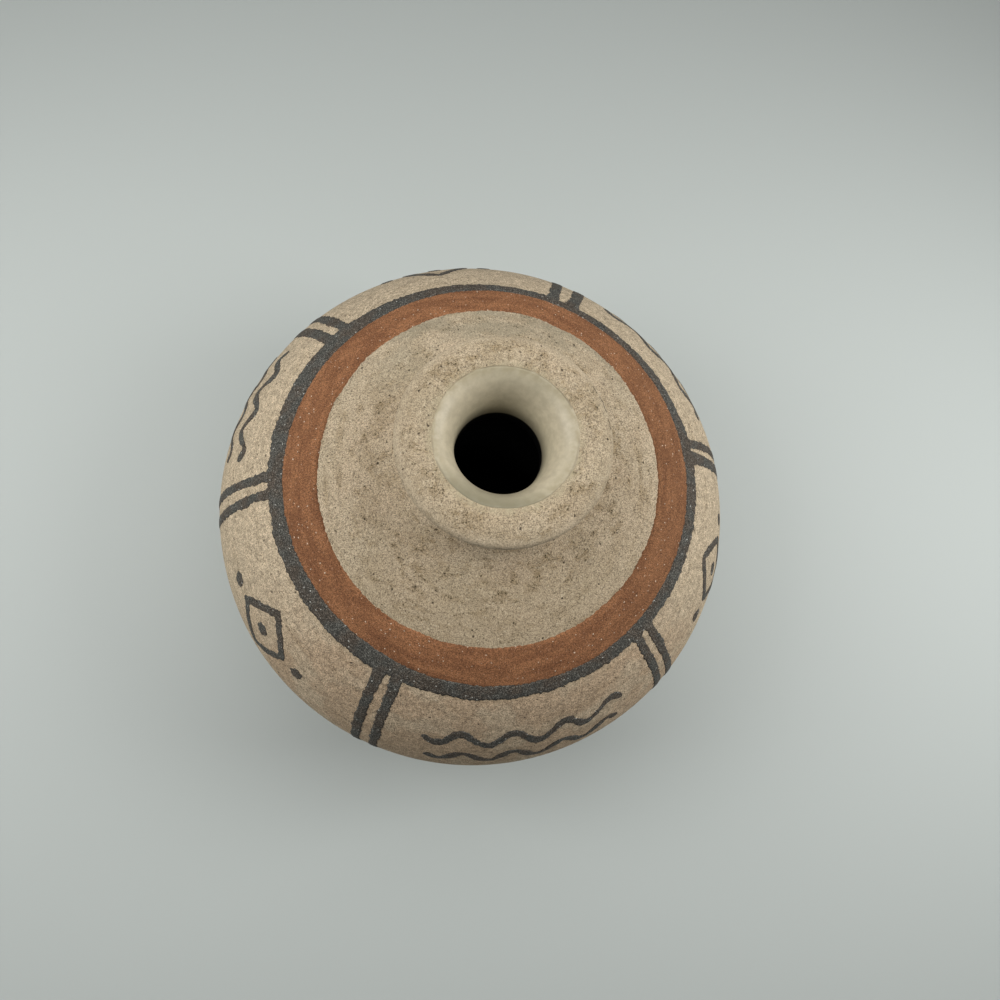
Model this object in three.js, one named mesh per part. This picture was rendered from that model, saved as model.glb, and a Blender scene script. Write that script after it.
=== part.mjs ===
// A wheel-thrown stoneware pot: a squat round belly, a short flared neck with a funnel mouth,
// a glaze lining poured inside, and slip decoration brushed on the shoulder and the belly.
// Millimetres, +Z up. The origin is the centre of the foot, on the table.
import * as THREE from "three";

// Belly
const bellyRadius = 85;
const bellyHeight = 58; // the widest line above the table
const shoulderRise = 53.2; // the shoulder's crown above the widest line
const shoulderFullness = 1.8; // 2 is an ellipse, less is leaner
const underLift = 3; // the level underside above the table
const underFullness = 1.8;
const wall = 6;

// Foot ring, trimmed from the same clay
const footRadius = 41;
const footTuck = 9; // the underside levels out this far inside the foot's edge
const footRingWidth = 6;
const footRecess = 3;
const footChamfer = 0.8;

// Neck and mouth, each size counted from the one before it, from the throat outwards and up
const throatRadius = 11.3; // inside the glaze
const neckWall = 8.5;
const coveReach = 11.8;
const coveRise = 12.8;
const neckRise = 14.8; // from the waist up to the rim's outer edge
const mouthFlare = 6.7;
const funnelDepth = 15;
const rimWidth = 8.4;
const rimCrown = 2.5; // the mouth above the rim's outer edge
const lipRoll = 1.6;
const lipUnderAngle = THREE.MathUtils.degToRad(-45);
const lipTopAngle = THREE.MathUtils.degToRad(70);
const rimEase = 2.8; // how far the rim's top runs on from the lip before it turns
const rimCrestReach = 1.9; // the rim's crest outside the mouth
const rimCrestRise = 1; // pulls the crest above the mouth

// Layers that lie on the clay
const glazeThickness = 0.5;
const slipThickness = 0.3;
const layerGap = 0.05;

// Bands round the pot, widths in plan
const plainShoulder = 16.9; // from the crown out to the terracotta
const terracottaWidth = 9.6;
const charcoalWidth = 4.7;
const friezeDrop = 20; // the frieze below the widest line
const lowerBandHeight = 4.5;

// Bars between the panels, six free-hand pairs. The azimuth is where a bar leaves the charcoal
// band, anticlockwise from +X seen from above. The lean is what it gains by the lower band, and
// the load is how far the full brush spreads, as a share of the bar's width.
const barWidth = 3.2;
const bars = [
  { azimuth: 7.7, lean: -1, load: 1.12 },
  { azimuth: 12.1, lean: -3, load: 0.88 },
  { azimuth: 65, lean: 0, load: 1.15 },
  { azimuth: 71.1, lean: 0, load: 1.06 },
  { azimuth: 133.6, lean: 0.8, load: 1 },
  { azimuth: 139, lean: -1, load: 1.15 },
  { azimuth: 181, lean: 1.7, load: 0.9 },
  { azimuth: 185.6, lean: 1.5, load: 0.9 },
  { azimuth: 241.5, lean: 3, load: 0.97 },
  { azimuth: 246.4, lean: 1.6, load: 0.9 },
  { azimuth: 313.6, lean: 1.6, load: 0.9 },
  { azimuth: 317.9, lean: 0.8, load: 0.9 },
];

// Ornaments in the panels
const lineWidth = 2.6;
const ornamentDrop = 22; // its centre below the charcoal band, along the wall
const waveShare = 0.62; // of the panel's width
const waveLength = 15;
const waveSwing = 2.8;
const waveSpacing = 11;
const lozengeWidth = 20;
const lozengeHeight = 23;
const dotRadius = 2.1;
const sideDotGap = 6.5; // from the lozenge's corner

// Fineness of the facets
const turnsRound = 44;
const strokeStep = 3.4;
const waveStations = 8; // in one wave
const brushEndShare = 0.55; // of a line's width, where the brush is set down and lifted
const dotSides = 10;

const glazeLayer = layerGap + glazeThickness;
const slipLayer = layerGap + slipThickness;
const waistRadius = throatRadius + glazeLayer + neckWall;
const crownRadius = waistRadius + coveReach;
const crownHeight = bellyHeight + shoulderRise;
const waistHeight = crownHeight + coveRise;
const rimHeight = waistHeight + neckRise;
const mouthRadius = throatRadius + mouthFlare;
const mouthHeight = rimHeight + rimCrown;
const throatHeight = mouthHeight - funnelDepth;
const rimRadius = mouthRadius + rimWidth;
const crownReach = bellyRadius - crownRadius;
const underReach = bellyRadius - footRadius + footTuck;
const underDrop = bellyHeight - underLift;
const terracottaInner = crownRadius + plainShoulder;
const charcoalInner = terracottaInner + terracottaWidth;
const charcoalOuter = charcoalInner + charcoalWidth;
const quarter = Math.PI / 2;

const point = (radius, height) => new THREE.Vector2(radius, height);

// The belly's curve

// A place on the belly's outline. The turn runs from -90 degrees at the level underside,
// through 0 at the widest line, to 90 degrees at the crown. The offset is square to the wall.
function bellyPoint(turn, offset = 0) {
  const above = turn >= 0;
  const reach = above ? crownReach : underReach;
  const rise = above ? shoulderRise : underDrop;
  const fullness = above ? shoulderFullness : underFullness;
  const out = Math.abs(Math.cos(turn)) ** (2 / fullness);
  const up = Math.abs(Math.sin(turn)) ** (2 / fullness);
  const normal = point(out ** (fullness - 1) / reach, up ** (fullness - 1) / rise).normalize();
  const side = above ? 1 : -1;
  return point(
    bellyRadius - reach + reach * out + offset * normal.x,
    bellyHeight + side * (rise * up + offset * normal.y),
  );
}

function shoulderTurn(radius) {
  const out = (radius - crownRadius) / crownReach;
  return Math.acos(out ** (shoulderFullness / 2));
}

function underTurnAtDrop(drop) {
  const up = drop / underDrop;
  return -Math.asin(up ** (underFullness / 2));
}

function underTurnAtRadius(radius) {
  const out = (radius - bellyRadius + underReach) / underReach;
  return -Math.acos(out ** (underFullness / 2));
}

function turnsBetween(first, last, steps) {
  return Array.from({ length: steps + 1 }, (_, i) => first + ((last - first) * i) / steps);
}

const lowerBandTurns = turnsBetween(
  underTurnAtDrop(friezeDrop + lowerBandHeight),
  underTurnAtDrop(friezeDrop),
  1,
);
const charcoalTurns = turnsBetween(shoulderTurn(charcoalOuter), shoulderTurn(charcoalInner), 2);
const terracottaTurns = turnsBetween(shoulderTurn(charcoalInner), shoulderTurn(terracottaInner), 3);

// Outlines of the clay body, from the middle of the foot round to the floor inside

function footLine() {
  const innerRadius = footRadius - footRingWidth;
  return [
    point(0, footRecess),
    point(innerRadius - footChamfer, footRecess),
    point(innerRadius, footRecess - footChamfer),
    point(innerRadius, footChamfer),
    point(innerRadius + footChamfer, 0),
    point(footRadius - footChamfer, 0),
    point(footRadius, footChamfer),
  ];
}

function bellyLine() {
  const turns = [
    ...turnsBetween(underTurnAtRadius(footRadius), lowerBandTurns[0], 4),
    ...lowerBandTurns.slice(1),
    ...turnsBetween(lowerBandTurns.at(-1), 0, 3).slice(1),
    ...turnsBetween(0, charcoalTurns[0], 6).slice(1),
    ...charcoalTurns.slice(1),
    ...terracottaTurns.slice(1),
    ...turnsBetween(terracottaTurns.at(-1), quarter, 3).slice(1),
  ];
  return turns.map((turn) => bellyPoint(turn));
}

function neckLine() {
  const cove = new THREE.EllipseCurve(
    crownRadius, waistHeight, coveReach, coveRise, 3 * quarter, 2 * quarter, true,
  );
  const lip = new THREE.EllipseCurve(
    rimRadius - lipRoll, rimHeight, lipRoll, lipRoll, lipUnderAngle, lipTopAngle,
  );
  const lipStart = lip.getPoint(0);
  const lipEnd = lip.getPoint(1);
  const flareBend = point(waistRadius, lipStart.y - (lipStart.x - waistRadius));
  const flare = new THREE.QuadraticBezierCurve(point(waistRadius, waistHeight), flareBend, lipStart);
  const rimTop = new THREE.CubicBezierCurve(
    lipEnd,
    lipEnd.clone().add(lip.getTangent(1).multiplyScalar(rimEase)),
    point(mouthRadius + rimCrestReach, mouthHeight + rimCrestRise),
    point(mouthRadius, mouthHeight),
  );
  return [
    ...cove.getPoints(5).slice(1),
    ...flare.getPoints(3).slice(1),
    ...lip.getPoints(4).slice(1),
    ...rimTop.getPoints(4).slice(1, -1),
  ];
}

// The clay's surface inside, from the middle of the floor up to the mouth
function insideLine() {
  const clayThroat = throatRadius + glazeLayer;
  const neck = new THREE.EllipseCurve(
    crownRadius, waistHeight, crownRadius - clayThroat, coveRise + wall,
    3 * quarter, 2 * quarter, true,
  );
  const funnel = new THREE.QuadraticBezierCurve(
    point(clayThroat, throatHeight),
    point(clayThroat, mouthHeight - (mouthRadius - clayThroat)),
    point(mouthRadius, mouthHeight),
  );
  return [
    point(0, underLift + wall),
    ...turnsBetween(-quarter, 0, 5).map((turn) => bellyPoint(turn, -wall)),
    ...turnsBetween(0, quarter, 5).slice(1).map((turn) => bellyPoint(turn, -wall)),
    ...neck.getPoints(4).slice(1),
    ...funnel.getPoints(5),
  ];
}

// The same line moved sideways to its left, each stretch staying parallel to itself
function shifted(line, distance) {
  const sides = line.slice(1).map((end, i) => {
    const along = end.clone().sub(line[i]).normalize();
    return point(-along.y, along.x);
  });
  return line.map((corner, i) => {
    const before = sides[Math.max(i - 1, 0)];
    const after = sides[Math.min(i, sides.length - 1)];
    const scale = distance / (1 + before.dot(after));
    return corner.clone().add(before.clone().add(after).multiplyScalar(scale));
  });
}

// Solids turned on the wheel

function turned(outline) {
  return new THREE.LatheGeometry(outline, turnsRound).rotateX(quarter);
}

function bodyShape() {
  return turned([...footLine(), ...bellyLine(), ...neckLine(), ...insideLine().reverse()]);
}

function glazeShape() {
  const inside = insideLine();
  return turned([...shifted(inside, layerGap), ...shifted(inside, glazeLayer).reverse()]);
}

function bandShape(turns) {
  const face = turns.map((turn) => bellyPoint(turn, slipLayer));
  const back = turns.map((turn) => bellyPoint(turn, layerGap)).reverse();
  return turned([...face, ...back, face[0]]);
}

// Terracotta and charcoal lie side by side, so the terracotta stops a hair short
function besideCharcoal(turns) {
  const hair = layerGap / shoulderRise;
  return [turns[0] + hair, ...turns.slice(1)];
}

// Brush strokes

function onWall(azimuth, turn, offset) {
  const place = bellyPoint(turn, offset);
  return new THREE.Vector3(place.x * Math.cos(azimuth), place.x * Math.sin(azimuth), place.y);
}

function wallNormal(azimuth, turn) {
  return onWall(azimuth, turn, 1).sub(onWall(azimuth, turn, 0)).normalize();
}

// A place in the frieze, millimetres across from an azimuth and down from the charcoal band
function inFrieze(azimuth, across, down) {
  const meanRadius = (shoulderRise + crownReach) / 2;
  const turn = charcoalTurns[0] - down / meanRadius;
  return { azimuth: azimuth + across / bellyPoint(turn).x, turn };
}

// A flat ribbon of slip along a path of places. A closed one runs round into its own start.
function strokeShape(path, halfWidths, closed = false) {
  const count = path.length;
  const centres = path.map(({ azimuth, turn }) => onWall(azimuth, turn, 0));
  const corners = path.flatMap(({ azimuth, turn }, i) => {
    const next = centres[closed ? (i + 1) % count : Math.min(i + 1, count - 1)];
    const last = centres[closed ? (i + count - 1) % count : Math.max(i - 1, 0)];
    const normal = wallNormal(azimuth, turn);
    const side = normal.clone().cross(next.clone().sub(last)).setLength(halfWidths[i]);
    const low = onWall(azimuth, turn, layerGap);
    const high = onWall(azimuth, turn, slipLayer);
    return [low.clone().add(side), high.clone().add(side), high.sub(side), low.sub(side)];
  });
  const faces = [];
  const spans = closed ? count : count - 1;
  for (let span = 0; span < spans; span++) {
    for (let edge = 0; edge < 4; edge++) {
      const a = 4 * span + edge;
      const b = 4 * span + ((edge + 1) % 4);
      const shift = 4 * ((span + 1) % count) - 4 * span;
      faces.push(a, b, b + shift, a, b + shift, a + shift);
    }
  }
  if (!closed) {
    const end = 4 * (count - 1);
    faces.push(0, 2, 1, 0, 3, 2, end, end + 1, end + 2, end, end + 2, end + 3);
  }
  return solidFrom(corners, faces);
}

function solidFrom(corners, faces) {
  const shape = new THREE.BufferGeometry().setFromPoints(corners);
  shape.setIndex(faces);
  shape.computeVertexNormals();
  return shape;
}

// A stroke laid down with a round brush: narrower where it starts and where it lifts off
function brushWidths(count, width) {
  return Array.from({ length: count }, (_, i) => {
    const atEnd = i === 0 || i === count - 1;
    return (width / 2) * (atEnd ? brushEndShare : 1);
  });
}

function barShape({ azimuth, lean, load }) {
  const top = charcoalTurns[0] - layerGap / shoulderRise;
  const bottom = lowerBandTurns.at(-1) + layerGap / shoulderRise;
  const steps = Math.ceil(((top - bottom) * shoulderRise) / strokeStep);
  const path = turnsBetween(top, bottom, steps).map((turn, i) => ({
    azimuth: THREE.MathUtils.degToRad(azimuth + (lean * i) / steps),
    turn,
  }));
  return strokeShape(path, path.map(() => (barWidth * load) / 2));
}

function waveShape(azimuth, panelAngle, drop) {
  const length = waveShare * panelAngle * bellyRadius;
  const waves = Math.round(length / waveLength);
  const steps = waves * waveStations;
  const path = Array.from({ length: steps + 1 }, (_, i) => {
    const across = length * (i / steps - 0.5);
    const swing = waveSwing * Math.sin((i / waveStations) * 2 * Math.PI);
    return inFrieze(azimuth, across, drop + swing);
  });
  return strokeShape(path, brushWidths(path.length, lineWidth));
}

function lozengeShape(azimuth) {
  const corners = [
    [lozengeWidth / 2, 0],
    [0, -lozengeHeight / 2],
    [-lozengeWidth / 2, 0],
    [0, lozengeHeight / 2],
  ];
  const sideLength = Math.hypot(lozengeWidth, lozengeHeight) / 2;
  const steps = Math.ceil(sideLength / strokeStep);
  const path = corners.flatMap(([x, y], i) => {
    const [nextX, nextY] = corners[(i + 1) % 4];
    return turnsBetween(0, 1, steps).slice(0, -1).map((share) =>
      inFrieze(azimuth, x + (nextX - x) * share, ornamentDrop + y + (nextY - y) * share));
  });
  return strokeShape(path, path.map(() => lineWidth / 2), true);
}

function dotShape(azimuth, across) {
  const { azimuth: turned, turn } = inFrieze(azimuth, across, ornamentDrop);
  const normal = wallNormal(turned, turn);
  const right = new THREE.Vector3(-Math.sin(turned), Math.cos(turned), 0);
  const up = normal.clone().cross(right);
  const ring = (offset) => Array.from({ length: dotSides }, (_, i) => {
    const angle = (2 * Math.PI * i) / dotSides;
    return onWall(turned, turn, offset)
      .addScaledVector(right, dotRadius * Math.cos(angle))
      .addScaledVector(up, dotRadius * Math.sin(angle));
  });
  const faces = [];
  for (let i = 0; i < dotSides; i++) {
    const next = (i + 1) % dotSides;
    faces.push(i, next, dotSides + next, i, dotSides + next, dotSides + i);
    if (i > 0 && i < dotSides - 1) {
      faces.push(0, i + 1, i, dotSides, dotSides + i, dotSides + i + 1);
    }
  }
  return solidFrom([...ring(layerGap), ...ring(slipLayer)], faces);
}

// Materials

function matte(color, roughness) {
  return new THREE.MeshStandardMaterial({ color, roughness, metalness: 0 });
}

const sandyClay = matte("#bba98a", 0.92);
const creamGlaze = matte("#c9c4a8", 0.3);
const terracottaSlip = matte("#95593a", 0.88);
const charcoalSlip = matte("#4a4d4c", 0.9);

// The pot

const pot = new THREE.Group();

function add(name, shape, material) {
  const piece = new THREE.Mesh(shape, material);
  piece.name = name;
  pot.add(piece);
}

function addBars() {
  bars.forEach((bar, i) => {
    const pair = Math.floor(i / 2) + 1;
    const side = i % 2 === 0 ? "left" : "right";
    add(`bar_${pair}_${side}`, barShape(bar), charcoalSlip);
  });
}

// A panel lies between one pair of bars and the next
function panels() {
  const fullTurn = 360;
  const found = [];
  for (let i = 1; i < bars.length; i += 2) {
    const start = bars[i].azimuth;
    const end = i + 1 < bars.length ? bars[i + 1].azimuth : bars[0].azimuth + fullTurn;
    found.push({
      middle: THREE.MathUtils.degToRad((start + end) / 2),
      angle: THREE.MathUtils.degToRad(end - start),
    });
  }
  return found;
}

// The panels take waves and lozenges by turns
function addOrnaments() {
  panels().forEach(({ middle, angle }, i) => {
    if (i % 2 === 0) {
      const shift = waveSpacing / 2;
      add(`wave_${i + 1}_upper`, waveShape(middle, angle, ornamentDrop - shift), charcoalSlip);
      add(`wave_${i + 1}_lower`, waveShape(middle, angle, ornamentDrop + shift), charcoalSlip);
    } else {
      const side = lozengeWidth / 2 + sideDotGap;
      add(`lozenge_${i + 1}`, lozengeShape(middle), charcoalSlip);
      add(`dot_${i + 1}_middle`, dotShape(middle, 0), charcoalSlip);
      add(`dot_${i + 1}_right`, dotShape(middle, side), charcoalSlip);
      add(`dot_${i + 1}_left`, dotShape(middle, -side), charcoalSlip);
    }
  });
}

add("clay_body", bodyShape(), sandyClay);
add("inner_glaze", glazeShape(), creamGlaze);
add("terracotta_band", bandShape(besideCharcoal(terracottaTurns)), terracottaSlip);
add("upper_charcoal_band", bandShape(charcoalTurns), charcoalSlip);
add("lower_charcoal_band", bandShape(lowerBandTurns), charcoalSlip);
addBars();
addOrnaments();

export default pot;
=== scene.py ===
# %% [markdown]
# # A brushed stoneware pot
# This lesson dresses a small pot that was thrown on a wheel: sandy clay outside, a cream glaze
# in the mouth, and bands and figures brushed on with coloured slip. The solid model is loaded
# first. Every piece made here takes the place of one of its solids at the same size. The rim,
# the throat and the edges of the bands differ from the solids by under a millimetre, and the
# bars run on into the bands.

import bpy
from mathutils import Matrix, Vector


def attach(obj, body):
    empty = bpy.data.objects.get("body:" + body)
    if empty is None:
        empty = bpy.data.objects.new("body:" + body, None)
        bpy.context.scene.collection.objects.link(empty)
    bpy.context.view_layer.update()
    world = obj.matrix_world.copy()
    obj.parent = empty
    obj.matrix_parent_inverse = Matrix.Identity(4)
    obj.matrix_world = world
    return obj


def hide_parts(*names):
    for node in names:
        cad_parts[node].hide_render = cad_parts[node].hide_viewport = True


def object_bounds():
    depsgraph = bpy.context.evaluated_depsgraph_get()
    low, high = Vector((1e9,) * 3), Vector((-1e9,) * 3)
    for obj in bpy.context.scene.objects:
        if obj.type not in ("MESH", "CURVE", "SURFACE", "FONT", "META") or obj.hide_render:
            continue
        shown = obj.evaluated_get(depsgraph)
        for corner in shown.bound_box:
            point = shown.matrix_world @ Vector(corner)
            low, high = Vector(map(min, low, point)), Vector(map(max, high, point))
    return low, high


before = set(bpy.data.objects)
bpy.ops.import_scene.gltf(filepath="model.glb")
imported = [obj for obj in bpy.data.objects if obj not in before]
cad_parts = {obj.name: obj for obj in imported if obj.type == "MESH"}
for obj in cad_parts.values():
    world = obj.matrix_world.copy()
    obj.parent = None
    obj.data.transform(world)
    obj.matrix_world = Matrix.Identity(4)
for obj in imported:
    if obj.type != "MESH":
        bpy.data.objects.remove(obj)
cad_low, cad_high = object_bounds()
print("solids:", len(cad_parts), "size in mm:", [round(side * 1000, 1) for side in cad_high - cad_low])

# %% Tools used below
from math import acos, asin, atan2, ceil, cos, degrees, hypot, pi, radians, sin

import bmesh
import bpy
from mathutils import Matrix, Vector, noise
from mathutils.geometry import interpolate_bezier

mm = 0.001
quarter = pi / 2
full_turn = 2 * pi
middle_height = (cad_low.z + cad_high.z) / 2

# %% [markdown]
# ## The camera
# The pot is seen from almost straight above, a little from the near side and the left, from
# about a hand's length away. So close a lens makes the mouth look large and the belly lean
# away. The camera is placed by the three directions of its picture: right, up and back.

# %% Place the camera
eye = Vector((-21.71, -53.53, 312.95)) * mm
picture_right = Vector((0.9931, 0.0, 0.1170))
picture_up = Vector((-0.0251, 0.9767, 0.2130))
picture_back = Vector((-0.1143, -0.2145, 0.9700))
lens = 27.04
sensor = 36
nearest_seen = 5 * mm


def in_scene(name, data):
    """Puts a new object in the scene: a camera, a mesh or a light."""
    made = bpy.data.objects.new(name, data)
    bpy.context.scene.collection.objects.link(made)
    return made


def place_camera():
    camera = in_scene("camera", bpy.data.cameras.new("camera"))
    turned = Matrix((picture_right, picture_up, picture_back)).transposed()
    camera.matrix_world = Matrix.Translation(eye) @ turned.to_4x4()
    camera.data.lens = lens
    camera.data.sensor_width = sensor
    camera.data.clip_start = nearest_seen
    bpy.context.scene.camera = camera


place_camera()
print("camera is", round((eye.z - cad_high.z) / mm), "mm above the mouth")

# %% [markdown]
# ## The belly's curve
# A squat belly is two half-ovals that meet at the widest line: a full one above, and a flat
# one that tucks in under it to the foot. Both are a little leaner than an ellipse. Everything
# that lies on the belly asks this one curve for its place, so no layer can sink or float.

# %% The pot's sizes
belly_radius = 85 * mm
belly_height = 58 * mm
shoulder_rise = 53.2 * mm
shoulder_fullness = 1.8
under_lift = 3 * mm
under_fullness = 1.8
wall = 6 * mm

foot_radius = 41 * mm
foot_tuck = 9 * mm
foot_ring_width = 6 * mm
foot_recess = 3 * mm
foot_round = 0.8 * mm

throat_radius = 11.5 * mm
glaze_thickness = 0.55 * mm
neck_wall = 8.3 * mm
cove_reach = 11.8 * mm
cove_rise = 12.8 * mm
neck_rise = 14.8 * mm
mouth_flare = 6.5 * mm
funnel_depth = 15 * mm
rim_width = 9 * mm
rim_crown = 2.5 * mm
lip_roll = 1.9 * mm
lip_under_angle = radians(-45)
lip_top_angle = radians(60)
rim_ease = 3.4 * mm
rim_crest = Vector((1.9, 1)) * mm

# %% Sizes worked out from them
clay_throat = throat_radius + glaze_thickness
waist_radius = clay_throat + neck_wall
crown_radius = waist_radius + cove_reach
crown_height = belly_height + shoulder_rise
waist_height = crown_height + cove_rise
rim_height = waist_height + neck_rise
mouth_radius = throat_radius + mouth_flare
mouth_height = rim_height + rim_crown
throat_height = mouth_height - funnel_depth
rim_radius = mouth_radius + rim_width
crown_reach = belly_radius - crown_radius
under_reach = belly_radius - foot_radius + foot_tuck
under_drop = belly_height - under_lift
print("mouth", round(mouth_height / mm, 1), "mm up; solids reach", round(cad_high.z / mm, 1))


# %% Places on the curve
def belly_half(above):
    if above:
        return crown_reach, shoulder_rise, shoulder_fullness
    return under_reach, under_drop, under_fullness


def belly_point(turn, offset=0.0):
    """Radius and height on the outline. The turn is -90 degrees under the pot and 90 at the crown."""
    reach, rise, fullness = belly_half(turn >= 0)
    out = abs(cos(turn)) ** (2 / fullness)
    up = abs(sin(turn)) ** (2 / fullness)
    side = 1 if turn >= 0 else -1
    normal = Vector((out ** (fullness - 1) / reach, up ** (fullness - 1) / rise)).normalized()
    radius = belly_radius - reach + reach * out + offset * normal.x
    return Vector((radius, belly_height + side * (rise * up + offset * normal.y)))


def shoulder_turn(radius):
    out = (radius - crown_radius) / crown_reach
    return acos(out ** (shoulder_fullness / 2))


def under_turn_at_drop(drop):
    return -asin((drop / under_drop) ** (under_fullness / 2))


def under_turn_at_radius(radius):
    out = (radius - belly_radius + under_reach) / under_reach
    return -acos(out ** (under_fullness / 2))


def outward(place):
    """The belly's outward direction at a place on it."""
    radius = hypot(place.x, place.y)
    above = place.z >= belly_height
    reach, rise, fullness = belly_half(above)
    out = max(0, (radius - belly_radius + reach) / reach) ** (fullness - 1) / reach
    up = (abs(place.z - belly_height) / rise) ** (fullness - 1) / rise
    level = out / radius
    return Vector((place.x * level, place.y * level, up if above else -up)).normalized()


def around_axis(azimuth, radius, height):
    return Vector((radius * cos(azimuth), radius * sin(azimuth), height))


def between(first, last, steps):
    return [first + (last - first) * step / steps for step in range(steps + 1)]


# %% [markdown]
# ## The maker's hand
# A thrown wall is never quite true. The belly swells and sinks by a tenth of a millimetre or
# two, and a sponge leaves faint rings. The same unevenness is asked for the clay and for the
# slip on it, at the same place, so they stay together. The throat was squeezed in last, and
# came out a little to one side of the axis.

# %% Unevenness of the thrown wall
sway = 0.16 * mm
sway_length = 34 * mm
ring_depth = 0.03 * mm
rings_in_a_turn = 58
ring_sway = 2.2
throat_shift = Vector((-0.33, -0.5, 0)) * mm
throat_shift_fall = 13 * mm
neck_inside = waist_radius - 1 * mm


def unevenness(place):
    slow = noise.noise(place / sway_length)
    height_turn = atan2(place.z - belly_height, hypot(place.x, place.y) - crown_radius / 2)
    rings = sin(rings_in_a_turn * height_turn + ring_sway * slow)
    return sway * slow + ring_depth * rings


def throat_step(place):
    """How far the surface inside the neck is moved, to set the throat off the axis."""
    if hypot(place.x, place.y) > neck_inside:
        return Vector()
    near = max(0, 1 - abs(place.z - throat_height) / throat_shift_fall)
    eased = near * near * (3 - 2 * near)
    return throat_shift * eased


# %% [markdown]
# ## Turning an outline
# The potter's wheel is bmesh's spin: a wire through the points of half a section is swung
# once round the axis, and its two ends are merged. Points on the axis fall together into a
# pole. Spin is slow with many steps, so it makes broad ones, and each is cut into finer ones,
# whose corners are moved out to the circle.

# %% Spin an outline into a turned piece
tiny = 0.001 * mm


def runs_around(edge):
    """Whether an edge lies along the turn of the wheel."""
    first, last = (corner.co for corner in edge.verts)
    level = abs(first.z - last.z) < tiny
    return level and abs(hypot(first.x, first.y) - hypot(last.x, last.y)) < tiny


def spun(outline, broad_steps, fine_steps):
    shape = bmesh.new()
    points = [shape.verts.new((place[0], 0, place[1])) for place in outline]
    edges = [shape.edges.new(pair) for pair in zip(points, points[1:])]
    bmesh.ops.spin(shape, geom=points + edges, cent=(0, 0, 0), axis=(0, 0, 1), dvec=(0, 0, 0),
                   angle=full_turn, space=Matrix.Identity(4), steps=broad_steps, use_merge=True,
                   use_normal_flip=False, use_duplicate=False)
    bmesh.ops.remove_doubles(shape, verts=shape.verts, dist=tiny)
    around = [edge for edge in shape.edges if runs_around(edge)]
    bmesh.ops.subdivide_edges(shape, edges=around, cuts=fine_steps - 1, use_grid_fill=True)
    step = full_turn / broad_steps
    for corner in shape.verts:
        from_middle = atan2(corner.co.y, corner.co.x) % step - step / 2
        swell = cos(from_middle) / cos(step / 2)
        corner.co = Vector((corner.co.x * swell, corner.co.y * swell, corner.co.z))
    bmesh.ops.recalc_face_normals(shape, faces=shape.faces)
    return shape


# %% Round the corners of an outline
def arc(centre, reach, rise, start, end, steps):
    turns = between(start, end, steps)
    return [Vector((centre[0] + reach * cos(turn), centre[1] + rise * sin(turn))) for turn in turns]


def bend(start, corner, end, steps):
    """A quarter-round of no set radius: it leaves start and reaches end heading for the corner."""
    pull = 2 / 3
    handles = start.lerp(corner, pull), end.lerp(corner, pull)
    return [Vector(place) for place in interpolate_bezier(start, *handles, end, steps + 1)]


# %% Keep a shape as a piece of the pot
def mesh_object(shape, name):
    mesh = bpy.data.meshes.new(name)
    shape.to_mesh(mesh)
    shape.free()
    return in_scene(name, mesh)


def finished(shape, name, node):
    """Makes the shape an object that stands for one solid and moves with it."""
    piece = mesh_object(shape, name)
    faces = piece.data.polygons
    faces.foreach_set("use_smooth", [True] * len(faces))
    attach(piece, "root")
    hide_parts(node)
    print(name, len(faces), "faces")
    return piece


# %% [markdown]
# ## The clay body
# One piece of clay holds foot, belly, neck and rim. Its section is drawn as the potter would
# feel it: the trimmed foot ring, the belly, the cove under the neck, the flare and the rolled
# lip, then the funnel down to the narrow throat and the wall inside. Corners that a sponge
# softens are arcs.

# %% Outline of the outside
foot_steps = 5
belly_steps = 64
cove_steps = 22
flare_steps = 14
lip_steps = 12
rim_steps = 22

lip_centre = (rim_radius - lip_roll, rim_height)
mouth = Vector((mouth_radius, mouth_height))


def foot_line():
    inner = foot_radius - foot_ring_width
    soft = foot_round
    return [
        Vector((0, foot_recess)),
        *arc((inner - soft, foot_recess - soft), soft, soft, quarter, 0, foot_steps),
        *arc((inner + soft, soft), soft, soft, 2 * quarter, 3 * quarter, foot_steps),
        *arc((foot_radius - soft, soft), soft, soft, -quarter, 0, foot_steps),
    ]


def belly_line():
    under = between(under_turn_at_radius(foot_radius), 0, belly_steps)
    shoulder = between(0, quarter, belly_steps)[1:]
    return [belly_point(turn) for turn in under + shoulder]


def rim_top():
    """From the lip over the crest to the mouth."""
    start = arc(lip_centre, lip_roll, lip_roll, lip_top_angle, 0, 1)[0]
    heading = Vector((-sin(lip_top_angle), cos(lip_top_angle)))
    handles = start + heading * rim_ease, mouth + rim_crest
    return [Vector(place) for place in interpolate_bezier(start, *handles, mouth, rim_steps + 1)]


def neck_line():
    cove = arc((crown_radius, waist_height), cove_reach, cove_rise, 3 * quarter, 2 * quarter, cove_steps)
    lip = arc(lip_centre, lip_roll, lip_roll, lip_under_angle, lip_top_angle, lip_steps)
    bottom = Vector((waist_radius, waist_height))
    corner = Vector((waist_radius, lip[0].y - (lip[0].x - waist_radius)))
    flare = bend(bottom, corner, lip[0], flare_steps)
    return cove[1:] + flare[1:] + lip[1:] + rim_top()[1:-1]


# %% Outline of the inside
def funnel_line():
    """Leaves the throat upright and runs on into the rim's top without a crease."""
    throat = Vector((clay_throat, throat_height))
    slope = rim_crest.y / rim_crest.x
    corner = Vector((clay_throat, mouth_height - slope * (mouth_radius - clay_throat)))
    return bend(throat, corner, mouth, rim_steps)


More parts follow.
